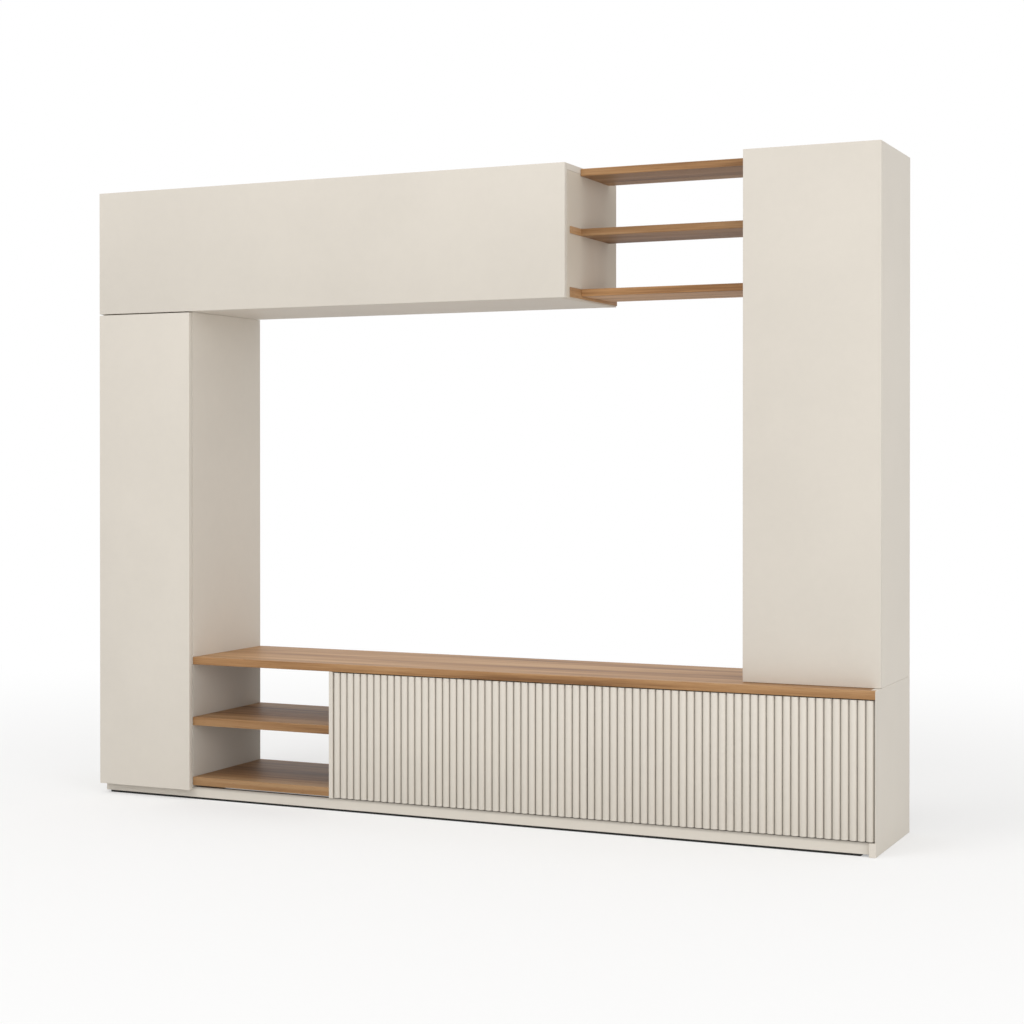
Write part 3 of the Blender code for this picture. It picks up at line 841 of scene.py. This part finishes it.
def makeHingeArm(hinge, place):
    look = hingeLook
    bm = bmesh.new()
    points = [bm.verts.new((-look["width"] / 2, y, z)) for y, z in look["outline"]]
    side = bm.faces.new(points)
    drawn = bmesh.ops.extrude_face_region(bm, geom=[side])
    bmesh.ops.translate(bm, verts=newVerts(drawn), vec=(look["width"], 0.0, 0.0))
    bmesh.ops.recalc_face_normals(bm, faces=bm.faces)
    bevelEdges(bm, bm.edges[:], look["armEdge"], 2, clamp=True)
    turnOut(bm)
    half = look["plateWidth"] / 2
    low = (-half, look["plateFront"], hingeSeat["gap"])
    high = (half, look["plateFront"] + look["plateDepth"], hingeSeat["gap"] + look["plateHeight"])
    addPlate(bm, low, high, look["plateCorner"], look["plateEdge"])
    middle = (low[1] + high[1]) / 2
    for x in (-look["plateScrew"], look["plateScrew"]):
        addCopy(bm, screwMesh, Matrix.Translation((x, middle, high[2])))
    top = max(z for y, z in look["outline"])
    for y in look["armScrews"]:
        addCopy(bm, screwMesh, Matrix.Translation((0.0, y, top - screwLook["height"])))
    bmesh.ops.transform(bm, matrix=place, verts=bm.verts)
    piece = makePiece(bm, hinge + "_arm", steelFinish)
    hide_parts(hinge)
    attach(piece, "carcass")


def flangeReach(angle):
    # How far the cup's flange reaches: the ring, or the wings that carry its screws
    across, along = math.cos(angle), math.sin(angle)
    wing = cupLook["wingHigh"] if along < 0.0 else cupLook["wingLow"]
    side = cupLook["wingHalf"] / max(abs(across), 0.0001)
    end = wing / max(abs(along), 0.0001)
    return max(cupLook["ring"], min(side, end))


def makeCups(front):
    look = cupLook
    depth = boreLook["fluteDepth"] if front.startswith("fluted") else boreLook["depth"]
    foot = look["clearance"] - depth
    # Radius and height of each ring, from the floor out. A ring without a radius follows the flange
    loops = [(look["floor"][0], foot + look["floor"][1]), (look["wall"][0], foot + look["wall"][1]),
             look["neck"], (look["mouth"], look["proud"]), (None, look["proud"]), (None, -look["sunk"]),
             (look["outside"], -look["sunk"]), (look["outside"], foot - look["shell"])]
    wide, back, ahead = look["lever"]
    across = Matrix.Rotation(math.pi / 2, 4, "Y")
    reach = look["wall"][0] - look["pinGap"]
    pin = [(0.0, -reach), (look["pin"], -reach), (look["pin"], reach), (0.0, reach)]
    toBack = Matrix.Rotation(-math.pi / 2, 4, "X")
    whole = bmesh.new()
    for hinge, (owner, place) in hingePlaces.items():
        if owner != front:
            continue
        bm = bmesh.new()
        rings = []
        for number in range(len(loops)):
            apart = Matrix.Translation((0.0, 0.0, look["ring"] * number))
            made = bmesh.ops.create_circle(bm, segments=look["sides"], radius=look["ring"], matrix=apart)
            rings.append(made["verts"])
        lines = [edgesOf(ring) for ring in rings]
        # Rings in one plane would be joined crosswise, so they are joined as a tube and then shaped
        for first, second in zip(lines, lines[1:]):
            bmesh.ops.bridge_loops(bm, edges=first + second)
        bmesh.ops.contextual_create(bm, geom=lines[0])
        bmesh.ops.contextual_create(bm, geom=lines[-1])
        for ring, (radius, height) in zip(rings, loops):
            for vert in ring:
                vert.co *= (radius or flangeReach(math.atan2(vert.co.y, vert.co.x))) / look["ring"]
                vert.co.z = height
        turnOut(bm)
        addBlock(bm, (-wide, -back, foot + look["leverFoot"]), (wide, ahead, -look["leverSunk"]),
                 look["leverEdge"])
        for y in (-back / 2, ahead - look["pinInset"]):
            spot = Matrix.Translation((0.0, y, -look["leverSunk"] - look["pin"]))
            addTurned(bm, pin, 14, spot @ across)
        for side in (-1, 1):
            spot = (look["screw"][0] * side, -look["screw"][1], look["proud"])
            addCopy(bm, screwMesh, Matrix.Translation(spot))
        seat = Matrix.Translation(cupCentre(front, place)) @ place.to_3x3().to_4x4() @ toBack
        addDrawn(whole, bm, seat)
    piece = makePiece(whole, front + "_cups", steelFinish)
    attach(piece, front)


for hinge, (front, place) in hingePlaces.items():
    makeHingeArm(hinge, place)
for front in fronts:
    makeCups(front)
print("hinges made:", len(hingePlaces))


# Gas struts of the bridge flap. Each shape is a list of radius and height along its own axis
strutLook = {
    "eye": 0.0077,
    "rodGap": 0.0007,
    "tube": 0.0070,
    "tubeMouth": 0.0062,
    "rod": 0.0035,
    "tubeEnd": 0.0140,      # from the rod's eye
    "tubeFoot": ((0.0, 0.0086), (0.0040, 0.0090), (0.0056, 0.0096), (0.0070, 0.0112)),
    "tubeRim": 0.0010,
    "bore": 0.0040,         # depth of the tube's open end
    "boreFoot": (0.0039, 0.0300),
    "rodLength": 0.1000,
    "rodTip": (0.0004, 0.0006),
    "rodTop": 0.0050,
    "neck": ((0.0, -0.0030), (0.0040, -0.0030), (0.0040, 0.0100), (0.0, 0.0100)),
    "socket": ((0.0, -0.0062), (0.0052, -0.0062), (0.0060, -0.0054), (0.0060, 0.0040),
               (0.0052, 0.0048), (0.0, 0.0048)),
    "rodNeck": ((0.0, -0.0130), (0.0044, -0.0130), (0.0048, -0.0122), (0.0048, -0.0030), (0.0, -0.0030)),
    "rodEnd": ((0.0, -0.0048), (0.0052, -0.0048), (0.0060, -0.0040), (0.0060, 0.0040),
               (0.0052, 0.0048), (0.0, 0.0048)),
    "plate": (0.0200, 0.0260, 0.0022 / 3),
    "plateCorner": 0.0040,
    "plateEdge": 0.0002,
    "plateScrewSunk": 0.0004,
    "stud": 0.0032,
}


def strutEnds(side):
    tubeLow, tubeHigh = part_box("strut_tube_" + side)
    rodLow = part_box("strut_rod_" + side)[0]
    x = (tubeLow[0] + tubeHigh[0]) / 2
    eye = strutLook["eye"]
    pivot = Vector((x, tubeHigh[1] - eye, tubeHigh[2] - eye))
    return pivot, Vector((x, rodLow[1] + eye, rodLow[2] + eye))


def makeStrut(side):
    look = strutLook
    pivot, bracket = strutEnds(side)
    reach = bracket - pivot
    turn = reach.to_track_quat("Z", "X").to_matrix().to_4x4()
    top = reach.length - look["tubeEnd"]
    radius, rod = look["tube"], look["rod"]
    gap = rod + look["rodGap"]
    across = Matrix.Rotation(math.pi / 2, 4, "Y")
    bm = bmesh.new()
    tube = list(look["tubeFoot"])
    tube += [(radius, top - look["tubeRim"]), (look["tubeMouth"], top), (gap, top)]
    tube += [(gap, top - look["bore"]), look["boreFoot"], (0.0, look["boreFoot"][1])]
    addTurned(bm, tube, 28)
    addTurned(bm, look["neck"], 20)
    addTurned(bm, look["socket"], 24, across)
    bmesh.ops.transform(bm, matrix=Matrix.Translation(pivot) @ turn, verts=bm.verts)
    piece = makePiece(bm, "strut_tube_" + side + "_body", strutFinish)
    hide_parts("strut_tube_" + side)
    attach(piece, "strut_tube_" + side)
    bm = bmesh.new()
    foot, head = -look["rodLength"], -look["rodTop"]
    tip, rise = look["rodTip"]
    shaft = [(0.0, foot), (rod - tip, foot), (rod, foot + rise), (rod, head), (0.0, head)]
    addTurned(bm, shaft, 24)
    addTurned(bm, look["rodNeck"], 20)
    addTurned(bm, look["rodEnd"], 24, across)
    bmesh.ops.transform(bm, matrix=Matrix.Translation(bracket) @ turn, verts=bm.verts)
    piece = makePiece(bm, "strut_rod_" + side + "_body", steelFinish)
    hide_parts("strut_rod_" + side)
    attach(piece, "strut_rod_" + side)


def makeStrutMount(side):
    # A plate with a stud on the cabinet's side
    look = strutLook
    pivot = strutEnds(side)[0]
    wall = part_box("bridge_side_" + side)
    wallX = wall[1][0] if side == "left" else wall[0][0]
    length, radius = abs(pivot.x - wallX), look["stud"]
    bm = bmesh.new()
    wide, tall, thick = look["plate"]
    addPlate(bm, (-wide / 2, -tall / 2, 0.0), (wide / 2, tall / 2, thick), look["plateCorner"],
             look["plateEdge"])
    addTurned(bm, [(0.0, 0.0), (radius, 0.0), (radius, length), (0.0, length)], 20)
    for spot in (-tall / 3, tall / 3):
        addCopy(bm, screwMesh, Matrix.Translation((0.0, spot, thick - look["plateScrewSunk"])))
    turn = Matrix.Rotation(math.pi / 2 if side == "left" else -math.pi / 2, 4, "Y")
    place = Matrix.Translation((wallX, pivot.y, pivot.z)) @ turn
    bmesh.ops.transform(bm, matrix=place, verts=bm.verts)
    piece = makePiece(bm, "strut_plate_" + side, steelFinish)
    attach(piece, "carcass")


for side in ("left", "right"):
    makeStrut(side)
    makeStrutMount(side)
print("gas struts made")

pinLook = {
    "radius": 0.0025,
    "collar": 0.0038,
    "collarHeight": 0.0009,
    "collarFoot": 0.0012,
    "reach": 0.0075,
    "tip": 0.0008,
    "fromEnd": 0.0370,      # of the shelf, front and back
}
catchLook = {
    "width": 0.0120,
    "height": 0.0105,
    "front": 0.0030,
    "length": 0.0620,
    "edge": 0.0012,
    "wing": (0.0200, 0.0340, 0.0018),       # from and to, behind the catch's front, and thickness
    "wingEdge": 0.0006,
    "wingScrew": 0.0016,
    "plunger": 0.0033,
    "plungerLength": 0.0120,
    "plungerEdge": 0.0006,
    "tip": 0.0002,
    "striker": 0.0070,
    "strikerHeight": 0.0002,
    "strikerSunk": 0.0004,
    "strikerEdge": 0.0005,
}


def makePins(tower):
    look = pinLook
    bm = bmesh.new()
    radius, collar, reach, tip = look["radius"], look["collar"], look["reach"], look["tip"]
    profile = [(0.0, 0.0), (collar, 0.0), (collar, look["collarHeight"]), (radius, look["collarFoot"]),
               (radius, reach - tip), (radius - tip, reach), (0.0, reach)]
    mesh = keepMesh(turnedShape(profile, 16), "pin")
    walls = (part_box(tower + "_side_left")[1][0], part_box(tower + "_side_right")[0][0])
    for number in (1, 2, 3):
        low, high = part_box(tower + "_shelf_" + str(number))
        for y in (low[1] + look["fromEnd"], high[1] - look["fromEnd"]):
            for x, turn in zip(walls, (math.pi / 2, -math.pi / 2)):
                place = Matrix.Translation((x, y, low[2] - radius))
                addCopy(bm, mesh, place @ Matrix.Rotation(turn, 4, "Y"))
    bpy.data.meshes.remove(mesh)
    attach(makePiece(bm, tower + "_pins", steelFinish), "carcass")


def makeCatches(front, turn, spots):
    # Push-to-open catches on the cabinet, each with a striker on the front's back
    look = catchLook
    half, height, ahead = look["width"] / 2, look["height"], look["front"]
    wingFrom, wingTo, wingHigh = look["wing"]
    radius, edge, tip, foot = look["plunger"], look["plungerEdge"], -look["tip"], -look["plungerLength"]
    plunger = [(0.0, foot), (radius, foot), (radius, tip - edge), (radius - edge, tip), (0.0, tip)]
    disc, top = look["striker"], look["strikerHeight"]
    striker = [(0.0, -look["strikerSunk"]), (disc, -look["strikerSunk"]), (disc, top / 2),
               (disc - look["strikerEdge"], top), (0.0, top)]
    outward = Matrix.Translation((0.0, 0.0, height / 2)) @ Matrix.Rotation(math.pi / 2, 4, "X")
    toBack = Matrix.Rotation(-math.pi / 2, 4, "X")
    catches, strikers = bmesh.new(), bmesh.new()
    for spot in spots:
        place = Matrix.Translation(spot) @ Matrix.Rotation(turn, 4, "Y")
        bm = bmesh.new()
        addBlock(bm, (-half, ahead, 0.0), (half, ahead + look["length"], height), look["edge"], 3)
        addBlock(bm, (-half * 2, ahead + wingFrom, 0.0), (half * 2, ahead + wingTo, wingHigh),
                 look["wingEdge"])
        for x in (-half * 1.5, half * 1.5):
            screwY = ahead + (wingFrom + wingTo) / 2
            addCopy(bm, screwMesh, Matrix.Translation((x, screwY, look["wingScrew"])))
        addTurned(bm, plunger, 20, outward)
        addDrawn(catches, bm, place)
        centre = place @ Vector((0.0, 0.0, height / 2))
        centre.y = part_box(front)[1][1]
        addTurned(strikers, striker, 32, Matrix.Translation(centre) @ toBack)
    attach(makePiece(catches, front + "_catches", runnerFinish), "carcass")
    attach(makePiece(strikers, front + "_strikers", steelFinish), front)


def between(lower, upper):
    # Height midway between two boards
    return (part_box(lower)[1][2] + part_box(upper)[0][2]) / 2


for tower in ("left_tower", "right_tower"):
    makePins(tower)
for front, tower, side, face, turn in (("left_door", "left_tower", "right", 0, -math.pi / 2),
                                       ("right_door", "right_tower", "left", 1, math.pi / 2)):
    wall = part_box(tower + "_side_" + side)
    heights = (between(tower + "_shelf_1", tower + "_shelf_2"),
               between(tower + "_shelf_3", tower + "_top"))
    makeCatches(front, turn, [Vector((wall[face][0], wall[0][1], height)) for height in heights])
bridgeLow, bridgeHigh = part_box("bridge_bottom")
quarter = (bridgeHigh[0] - bridgeLow[0]) / 4
makeCatches("bridge_flap", 0.0, [Vector((bridgeLow[0] + quarter * share, bridgeLow[1], bridgeHigh[2]))
                                 for share in (1, 3)])
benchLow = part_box("bench_top")[0][2]
for front in ("fluted_flap_left", "fluted_flap_right"):
    low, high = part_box(front)
    middle = Vector(((low[0] + high[0]) / 2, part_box("base_bottom")[0][1], benchLow))
    makeCatches(front, math.pi, [middle])
print("pins and catches made")


stageLook = {
    "floorSize": 60.0,
    "floorDiffuse": 0.55,
    "floorGlow": 0.39,
    "floorBounce": 0.72,
    "fadeFrom": 1.2,
    "fadeTo": 4.5,
    "skyLight": 0.1,
    "skyFront": 0.56,
    "skyTop": 1.0,
    "skyColour": (1.0, 0.995, 0.985, 1.0),
    "lampTarget": (0.0, 0.0, 0.9),
}
lamps = {
    "sideLamp": {"place": (8.0, -4.6, 1.7), "size": 4.0, "power": 170.0},
    "highLamp": {"place": (-2.0, -4.4, 6.0), "size": 3.0, "power": 72.0},
}


def makeFloor():
    # The camera sees grey with a glow near the part and white farther off. Other light meets plain grey
    look = stageLook
    bm = bmesh.new()
    bmesh.ops.create_grid(bm, x_segments=1, y_segments=1, size=look["floorSize"] / 2)
    mesh = bpy.data.meshes.new("studioFloor")
    bm.to_mesh(mesh)
    bm.free()
    floor = bpy.data.objects.new("studioFloor", mesh)
    bpy.context.scene.collection.objects.link(floor)
    material = bpy.data.materials.new("studioFloor")
    material.use_nodes = True
    tree = material.node_tree
    tree.nodes.clear()
    seen = addNode(tree, "ShaderNodeBsdfDiffuse", (-400, 200))
    seen.inputs["Color"].default_value = (look["floorDiffuse"],) * 3 + (1.0,)
    glow = addNode(tree, "ShaderNodeEmission", (-400, 60))
    glow.inputs["Strength"].default_value = look["floorGlow"]
    both = addNode(tree, "ShaderNodeAddShader", (-200, 140))
    join(tree, seen.outputs[0], both.inputs[0])
    join(tree, glow.outputs[0], both.inputs[1])
    where = addNode(tree, "ShaderNodeTexCoord", (-1000, 320))
    length = addNode(tree, "ShaderNodeVectorMath", (-800, 320), operation="LENGTH")
    join(tree, where.outputs["Object"], length.inputs[0])
    away = length.outputs["Value"]
    far = remap(tree, (-600, 320), away, look["fadeFrom"], look["fadeTo"], 0.0, 1.0)
    white = addNode(tree, "ShaderNodeEmission", (-400, 320))
    white.inputs["Strength"].default_value = 1.0
    fade = mixShader(tree, (-100, 240), far, both.outputs[0], white.outputs[0])
    bounce = addNode(tree, "ShaderNodeBsdfDiffuse", (-400, -100))
    bounce.inputs["Color"].default_value = (look["floorBounce"],) * 3 + (1.0,)
    path = addNode(tree, "ShaderNodeLightPath", (-400, 500))
    pick = mixShader(tree, (0, 100), path.outputs["Is Camera Ray"], bounce.outputs[0], fade)
    leave = addNode(tree, "ShaderNodeOutputMaterial", (200, 100))
    join(tree, pick, leave.inputs["Surface"])
    mesh.materials.append(material)
    floor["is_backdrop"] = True


def makeWorld():
    # Soft light from above and the front, and plain white where the camera or a reflection sees it
    world = bpy.data.worlds.new("studioLight")
    bpy.context.scene.world = world
    world.use_nodes = True
    tree = world.node_tree
    tree.nodes.clear()
    path = addNode(tree, "ShaderNodeLightPath", (-700, 300))
    seen = path.outputs["Is Camera Ray"]
    for number, ray in enumerate(("Is Glossy Ray", "Is Transmission Ray")):
        seen = mathNode(tree, "MAXIMUM", (-500 + 160 * number, 350), seen, path.outputs[ray])
    where = addNode(tree, "ShaderNodeTexCoord", (-1100, 0))
    parts = addNode(tree, "ShaderNodeSeparateXYZ", (-940, 0))
    join(tree, where.outputs["Generated"], parts.inputs[0])
    total = stageLook["skyLight"]
    for number, (axis, share) in enumerate((("Y", -stageLook["skyFront"]), ("Z", stageLook["skyTop"]))):
        side = mathNode(tree, "MULTIPLY", (-780, -160 * number), parts.outputs[axis], share)
        side = mathNode(tree, "MAXIMUM", (-620, -160 * number), side, 0.0)
        total = mathNode(tree, "ADD", (-460, -160 * number), side, total)
    soft = addNode(tree, "ShaderNodeBackground", (-300, 0))
    soft.inputs["Color"].default_value = stageLook["skyColour"]
    join(tree, total, soft.inputs["Strength"])
    white = addNode(tree, "ShaderNodeBackground", (-300, -160))
    setInputs(white, {"Color": (1.0, 1.0, 1.0, 1.0), "Strength": 1.0})
    pick = mixShader(tree, (-120, 0), seen, soft.outputs[0], white.outputs[0])
    leave = addNode(tree, "ShaderNodeOutputWorld", (60, 0))
    join(tree, pick, leave.inputs["Surface"])


def addLamp(name, look):
    data = bpy.data.lights.new(name, "AREA")
    data.shape = "SQUARE"
    data.size = look["size"]
    data.energy = look["power"]
    lamp = bpy.data.objects.new(name, data)
    lamp.location = look["place"]
    aim = Vector(stageLook["lampTarget"]) - Vector(look["place"])
    lamp.rotation_euler = aim.to_track_quat("-Z", "Y").to_euler()
    bpy.context.scene.collection.objects.link(lamp)


makeFloor()
makeWorld()
for name, look in lamps.items():
    addLamp(name, look)

cameraView = {
    "place": (2.4004, -5.0728, 1.0250),
    "turn": math.radians(24.4397),
    "tilt": math.radians(0.3346),       # downwards
    "focal": 1936.16,       # pixels, in a picture 1024 pixels wide
    "picture": 1024.0,
    "axisRow": 469.29,      # row that the lens axis meets
    "sensor": 36.0,
}


def makeCamera():
    view = cameraView
    data = bpy.data.cameras.new("camera")
    data.sensor_width = view["sensor"]
    data.lens = view["focal"] * view["sensor"] / view["picture"]
    data.shift_y = (view["axisRow"] - view["picture"] / 2) / view["picture"]
    camera = bpy.data.objects.new("camera", data)
    camera.location = view["place"]
    camera.rotation_euler = (math.pi / 2 - view["tilt"], 0.0, view["turn"])
    bpy.context.scene.collection.objects.link(camera)
    bpy.context.scene.camera = camera


makeCamera()
bpy.context.scene.view_settings.view_transform = "Standard"
print("stage, light and camera placed")

low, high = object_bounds()
